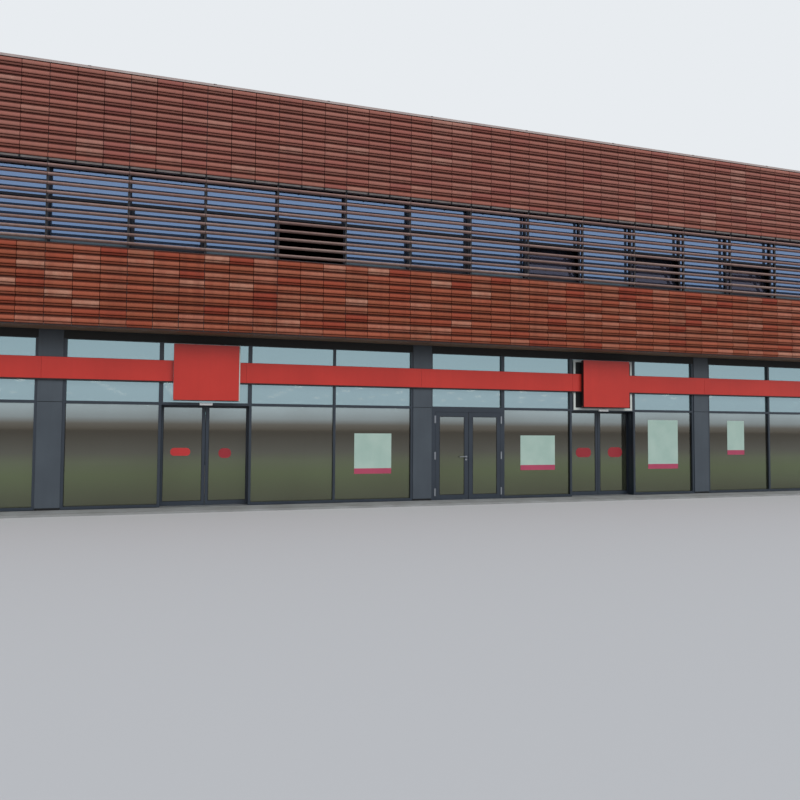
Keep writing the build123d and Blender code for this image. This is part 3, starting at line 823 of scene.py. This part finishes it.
def column_casings():
    """A casing round each column, with a joint at the transom and a recessed foot."""
    casings, feet = new_meshes(2)
    joint, joint_inset, foot, foot_inset = 0.008, 0.012, 0.05, 0.01
    spots = [(x, y) for x in front.posts for y in right_side.posts
             if x in (front.posts[0], front.posts[-1]) or y in (right_side.posts[0], right_side.posts[-1])]
    for spot in spots:
        x, y = about(spot[0], column_width), about(spot[1], column_width)
        for z in ((floor_z + foot, shop_transom_z - joint / 2), (shop_transom_z + joint / 2, soffit_z)):
            strip(casings, plan, x, y, z)
        strip(feet, plan, widened(x, -foot_inset), widened(y, -foot_inset), (floor_z, floor_z + foot))
        strip(feet, plan, widened(x, -joint_inset), widened(y, -joint_inset), about(shop_transom_z, joint))
    soften(casings, 0.006, 2)
    finish_piece(casings, "column_casings", "casing", replaced=("columns",))
    finish_piece(feet, "column_feet", "gasket")


# Soffit boards under the overhang, and lamps in the shop's ceiling


def soffit_boards():
    mesh = bmesh.new()
    joint, thick = 0.006, 0.012
    near, far = clad_depth + 0.004, recess + 0.02
    middle = (near + recess) / 2
    for wall in walls:
        starts, pitch = even_steps(run_of(wall, near, far), 2 * module)
        for start in starts:
            x = widened((start, start + pitch), -joint / 2)
            for y in ((near, middle - joint / 2), (middle + joint / 2, far)):
                strip(mesh, wall, x, y, (soffit_z - thick, soffit_z))
    soften(mesh, 0.002)
    finish_piece(mesh, "soffit_boards", "soffit")


def drip_edges():
    """The dark folded edge that closes the foot of the cladding over the soffit boards."""
    mesh = bmesh.new()
    depths, heights = (clad_depth - 0.014, clad_depth + 0.004), (soffit_z - 0.016, soffit_z + 0.002)
    for wall in walls:
        strip(mesh, wall, (-wall.half, wall.half), depths, heights)
    finish_piece(mesh, "drip_edges", "rail")


def ceiling_lamps():
    """Round lamps that hang on rods in rows over the shop floor."""
    lamps, rods = new_meshes(2)
    radius, depth, level, rod_radius = 0.14, 0.08, 3.4, 0.008
    spacing, margin = 2.2, 3.0
    across = math.floor((half_length - margin) / spacing)
    deep = math.floor((half_depth - margin) / spacing)
    for column in range(-across, across + 1):
        for row in range(-deep, deep + 1):
            spot = Vector((column * spacing, row * spacing, level))
            bmesh.ops.create_cone(lamps, cap_ends=True, segments=12, radius1=radius, radius2=radius,
                                  depth=depth, matrix=Matrix.Translation(spot))
            rod(rods, spot, (spot.x, spot.y, soffit_z), rod_radius, 6)
    finish_piece(lamps, "ceiling_lamps", "lamp")
    finish_piece(rods, "lamp_rods", "aluminium")


# Red band in cassettes, and the boxes' trims


def red_cassettes():
    """Two cassettes to a bay, the deep red behind their joints, and a dark edge of painted shade at foot and
    top.
    """
    cassettes, joints, edges = new_meshes(3)
    joint, joint_inset, set_back, top_set_back = 0.003, 0.006, 0.008, 0.002
    foot, top, joint_top = band_low.z + 0.026, band_high.z - 0.004, band_high.z - 0.012
    count = 2 * front_bays
    width = (band_high.x - band_low.x) / count
    face, rear = band_low.y + half_depth, band_high.y + half_depth
    for index in range(count):
        x = band_low.x + index * width
        strip(cassettes, front, widened((x, x + width), -joint / 2), (face, rear), (foot, top))
    soften(cassettes, 0.003, 2)
    x = (band_low.x, band_high.x)
    strip(joints, front, widened(x, -joint_inset), (face + set_back, rear), (foot, joint_top))
    # The band's foot and top are edged with painted shade
    strip(edges, front, x, (face + set_back, rear), (band_low.z, foot))
    strip(edges, front, x, (face + top_set_back, rear), (top, band_high.z))
    finish_piece(cassettes, "red_cassettes", "red", replaced=("red_band",))
    finish_piece(joints, "cassette_joints", "red_deep")
    finish_piece(edges, "band_shade_edges", "dark_painted_shade")


def box_trims():
    """Sides on each red box, dark with painted shade, a thin pale rim behind the left one, and on the right a
    wide pale frame.
    """
    rims, sleeves, sheets = new_meshes(3)
    low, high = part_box("red_boxes")
    rear = high.y + half_depth
    deep = (low.y + half_depth + 0.016, rear)
    sleeve, sleeve_inset = 0.003, 0.012
    rim_width, rim_left, rim_right = 0.05, 0.008, 0.032
    rim_depths, rim_heights = (rear - 0.03, rear - 0.004), (low.z - 0.008, high.z + 0.022)
    wide_rim_width, wide_rim, wide_rim_face = 0.066, 1.94, frame_face - 0.018
    wide_heights, sheet_inset, sheet_face = (shop_transom_z, high.z + 0.02), 0.06, frame_face - 0.006
    for place in entrance_modules:
        middle = sum(doorway(place)) / 2
        x = about(middle, red_box_width)
        # Sides of painted shade round each box
        for side in beside(x, sleeve):
            strip(sleeves, front, side, deep, widened((low.z, high.z), -sleeve_inset))
        for level in beside((low.z, high.z), sleeve):
            strip(sleeves, front, widened(x, -sleeve_inset), deep, level)
        if middle < 0:
            ring(rims, front, (x[0] - rim_left, x[1] + rim_right), rim_depths, rim_heights, rim_width)
        else:
            wide = about(middle, wide_rim)
            ring(rims, front, wide, (wide_rim_face, frame_face), wide_heights, wide_rim_width)
            strip(sheets, front, widened(wide, -sheet_inset), (sheet_face, frame_face),
                  widened(wide_heights, -sheet_inset))
    soften(rims, 0.003)
    finish_piece(rims, "box_rims", "rim")
    finish_piece(sleeves, "box_shaded_sides", "dark_painted_shade")
    finish_piece(sheets, "box_back_sheets", "gasket")


# Doors

sides = ("left", "right")
# Each sliding leaf's label: its middle from the pane's, its height above ground, width, height and finish
labels = {
    "left_entrance_left": (-0.05, 1.345, 0.46, 0.19, "bright_label"),
    "left_entrance_right": (-0.06, 1.31, 0.30, 0.24, "label"),
    "right_entrance_left": (0.06, 1.28, 0.50, 0.27, "label"),
    "right_entrance_right": (0.06, 1.285, 0.48, 0.29, "label"),
}
label_rounding = 0.46


def leaf_gaskets(body, pane, depths, width):
    """Gaskets on both faces of a door leaf, round its pane."""
    mesh = bmesh.new()
    low, high = pane
    for y in depths:
        ring(mesh, front, (low.x, high.x), y, (low.z, high.z), width)
    finish_piece(mesh, f"{body}_gaskets", "gasket", body=body)


def swing_stops():
    """Dark strips that close the gaps round the swing leaves from inside, clear of their backs."""
    low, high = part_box("swing_leaf_left")[0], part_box("swing_leaf_right")[1]
    lap, reach, clearance, thick = 0.015, 0.02, 0.005, 0.01
    y = (high.y + half_depth + clearance, high.y + half_depth + clearance + thick)
    mesh = bmesh.new()
    strip(mesh, front, (low.x - reach, high.x + reach), y, (high.z - lap, high.z + reach))
    for x in ((low.x - reach, low.x + lap), (high.x - lap, high.x + reach)):
        strip(mesh, front, x, y, (floor_z, high.z - lap))
    finish_piece(mesh, "swing_door_stops", "gasket")


def lever_handle():
    """A satin lever with its rose and keyhole plate, over the plain bar of the left leaf."""
    inset, level, radius, right_reach, left_reach = 0.065, 1.145, 0.0125, 0.012, 0.202
    plate_radius, keyhole_radius, keyhole_drop = 0.027, 0.009, 0.075
    face = -half_depth + frame_face
    plate_face, keyhole_face, lever_y = face - 0.009, face - 0.011, face - 0.045
    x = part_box("swing_leaf_left")[1].x - inset
    z = floor_z + level
    mesh = bmesh.new()
    for height in (z, z - keyhole_drop):
        rod(mesh, (x, face, height), (x, plate_face, height), plate_radius, 24)
    rod(mesh, (x, face, z), (x, lever_y, z), radius)
    rod(mesh, (x + right_reach, lever_y, z), (x - left_reach, lever_y, z), radius)
    rod(mesh, (x, plate_face, z - keyhole_drop), (x, keyhole_face, z - keyhole_drop), keyhole_radius)
    soften(mesh, 0.002, 2)
    finish_piece(mesh, "lever_handle", "hinge", body="swing_left")


def sliding_leaf_fittings(label, side):
    body = f"{label}_entrance_{side}"
    low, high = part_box(f"{label}_entrance_pane_{side}")
    leaf_low, leaf_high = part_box(f"{label}_entrance_leaf_{side}")
    face, rear, pane_face = leaf_low.y + half_depth, leaf_high.y + half_depth, low.y + half_depth
    width, outer, inner = 0.01, (face + 0.002, face + 0.01), (rear - 0.01, rear - 0.002)
    leaf_gaskets(body, (low, high), (outer, inner), width)
    shift, level, length, height, finish = labels[body]
    sign, sign_face = bmesh.new(), pane_face - 0.002
    x = about((low.x + high.x) / 2 + shift, length)
    strip(sign, front, x, (sign_face, pane_face), about(level, height))
    corners = [edge for edge in sign.edges if abs(edge.verts[0].co.y - edge.verts[1].co.y) > 0.001]
    soften(sign, height * label_rounding, 8, corners)
    finish_piece(sign, f"{body}_label", finish, body=body)


def door_fittings():
    outer, inner = (frame_face + 0.002, frame_face + 0.012), (frame_face + 0.038, frame_face + 0.048)
    width = 0.012
    for side in sides:
        leaf_gaskets(f"swing_{side}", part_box(f"swing_pane_{side}"), (outer, inner), width)
    swing_stops()
    lever_handle()
    for label in sides:
        for side in sides:
            sliding_leaf_fittings(label, side)
    thresholds = bmesh.new()
    outer = (frame_face - 0.02, frame_face + 0.1)
    inner = (shop_glass_back + 0.12, shop_glass_back + 0.26)
    heights = (floor_z, floor_z + 0.004)
    for places, y in ((door_modules, outer), (entrance_modules, inner)):
        for place in places:
            strip(thresholds, front, doorway(place), y, heights)
    soften(thresholds, 0.0015)
    finish_piece(thresholds, "door_thresholds", "aluminium")


# Plain paper sheets in the windows

# Left and right edge, foot and top
paper_sheets = ((-1.77, -0.78, 0.77, 1.81), (2.95, 4.02, 0.81, 1.77), (7.11, 8.16, 0.80, 2.24),
                (9.98, 10.62, 1.20, 2.24))


def window_papers():
    papers, bands = new_meshes(2)
    face, thick, band_thick, band_height = shop_glass_face - 0.004, 0.002, 0.001, 0.14
    for left, right, foot, top in paper_sheets:
        strip(papers, front, (left, right), (face, face + thick), (foot, top))
        strip(bands, front, (left, right), (face - band_thick, face), (foot, foot + band_height))
    finish_piece(papers, "window_papers", "sheet_paper")
    finish_piece(bands, "window_paper_bands", "paper_band")


# Roof


def coping_caps():
    caps, seams, drips = new_meshes(3)
    joint, seam, sheet, deep = 0.004, 0.06, 0.003, (0.0, wall_back)
    seam_foot, drip_foot = roof_edge_z + 0.002, roof_edge_z - 0.036
    for wall in walls:
        starts, pitch = even_steps(run_of(wall, 0, wall_back), 5 * module)
        for start in starts:
            x = widened((start, start + pitch), -joint / 2)
            strip(caps, wall, x, deep, (roof_edge_z, coping_top_z - sheet))
        for start in starts[1:]:
            strip(seams, wall, about(start, seam), deep, (seam_foot, coping_top_z))
        strip(drips, wall, (-wall.half, wall.half), (0.0, sheet), (drip_foot, roof_edge_z))
    soften(caps, 0.003)
    finish_piece(caps, "coping_caps", "coping", replaced=("roof_coping",))
    finish_piece(seams, "coping_seams", "coping")
    finish_piece(drips, "coping_drips", "coping")


def roof_sheets():
    """Lapped strips of roofing with darker seams, partly bitumen and partly painted shade of the laps, and
    the upstand sheets round them.
    """
    sheets, seams, upstands = new_meshes(3)
    width, thick, lap, seam = 1.0, 0.004, 0.06, 0.07
    seam_top, cross_seam_top = roof_top_z + 2 * thick + 0.001, roof_top_z + 2 * thick + 0.002
    upstand_top, flashing_foot = roof_edge_z - 0.04, roof_edge_z - 0.09
    upstand_back, flashing_back = wall_back + 0.02, wall_back + 0.03
    x_half, y_half = half_length - wall_back, half_depth - wall_back
    cross_seams = (-0.3 * y_half, 0.35 * y_half)
    starts, pitch = even_steps(x_half, width)
    for index, x in enumerate(starts):
        over = lap * (index % 2)
        top = roof_top_z + thick * (1 + index % 2)
        strip(sheets, plan, (x, min(x + pitch + over, x_half)), (-y_half, y_half), (roof_top_z, top))
        if index:
            edge = x + (lap - over)
            strip(seams, plan, about(edge, seam), (-y_half, y_half), (roof_top_z, seam_top))
    for y in cross_seams:
        strip(seams, plan, (-x_half, x_half), about(y, seam), (roof_top_z, cross_seam_top))
    for wall in walls:
        reach = wall.reach - wall_back
        strip(upstands, wall, (-reach, reach), (wall_back, upstand_back), (roof_top_z, upstand_top))
        strip(upstands, wall, (-reach, reach), (wall_back, flashing_back), (flashing_foot, upstand_top))
    finish_piece(sheets, "roof_sheets", "roofing")
    finish_piece(seams, "roof_seams", "roof_seam")
    finish_piece(upstands, "roof_upstands", "roofing")


tile_seed = 11
louvre_seed = 31
for number, wall in enumerate(walls):
    terracotta(wall, tile_seed + number)
    louvres(wall, louvre_seed + number)
louvre_clips()
head_strips()
ribbon_windows()
ribbon_reveals()
shop_glazing()
frame_flashings()
column_casings()
soffit_boards()
drip_edges()
ceiling_lamps()
red_cassettes()
box_trims()
door_fittings()
window_papers()
coping_caps()
roof_sheets()


# Floor, light and camera


def seen_rays(tree):
    """A mask: 1 for rays from the camera, off a gloss and through glass, and 0 for light that is shed."""
    path = tree.nodes.new("ShaderNodeLightPath")
    mask = path.outputs["Is Camera Ray"]
    for kind in ("Is Glossy Ray", "Is Transmission Ray"):
        mask = worked(tree, "MAXIMUM", mask, path.outputs[kind])
    return mask


def pale_floor():
    """A wide floor that shows pale and gives little light back to the underside of the building."""
    mesh = bmesh.new()
    bmesh.ops.create_grid(mesh, x_segments=1, y_segments=1, size=400.0)
    material, tree, shader = new_finish("pale_floor", roughness=0.9)
    tone = mixed(tree, seen_rays(tree), paint(120, 118, 114), paint(196, 196, 196))
    feed(tree, shader, {"Base Color": tone, "Specular IOR Level": 0.1})
    floor = mesh_object("floor", mesh)
    floor.data.materials.append(material)


def soft_light():
    """An even sky, and one wide lamp from high in front."""
    world = bpy.data.worlds.new("studio")
    bpy.context.scene.world = world
    world.use_nodes = True
    tree = world.node_tree
    sky = feed(tree, tree.nodes["Background"], {"Color": (0.80, 0.88, 1.0, 1.0), "Strength": 0.72})
    backdrop = new_node(tree, "Background", {"Color": paint(232, 236, 240)})
    mix = new_node(tree, "MixShader", {"Fac": seen_rays(tree), 1: sky.outputs["Background"],
                                       2: backdrop.outputs["Background"]})
    feed(tree, tree.nodes["World Output"], {"Surface": mix.outputs["Shader"]})
    lamp = bpy.data.lights.new("wide_lamp", "SUN")
    lamp.energy = 1.9
    lamp.angle = math.radians(40)
    lamp.color = (1.0, 0.96, 0.9)
    sun = new_object("wide_lamp", lamp)
    sun.visible_glossy = False
    sun.rotation_euler = (math.radians(56), 0, math.radians(24))


def photo_camera():
    """The camera where the photographer stood, at eye height in front of the left half of the front."""
    data = bpy.data.cameras.new("camera")
    data.sensor_width = 36.0
    data.lens = 30.47
    data.clip_start = 0.1
    data.clip_end = 500.0
    camera = new_object("camera", data)
    eye = Matrix.Translation((-5.728, -26.135, 1.948))
    turn_right = Matrix.Rotation(math.radians(-16.92), 4, "Z")
    look_up = Matrix.Rotation(math.radians(90 + 2.39), 4, "X")
    lean = Matrix.Rotation(math.radians(0.36), 4, "Z")
    camera.matrix_world = eye @ turn_right @ look_up @ lean
    bpy.context.scene.camera = camera


pale_floor()
soft_light()
photo_camera()
bpy.context.scene.view_settings.view_transform = "Standard"
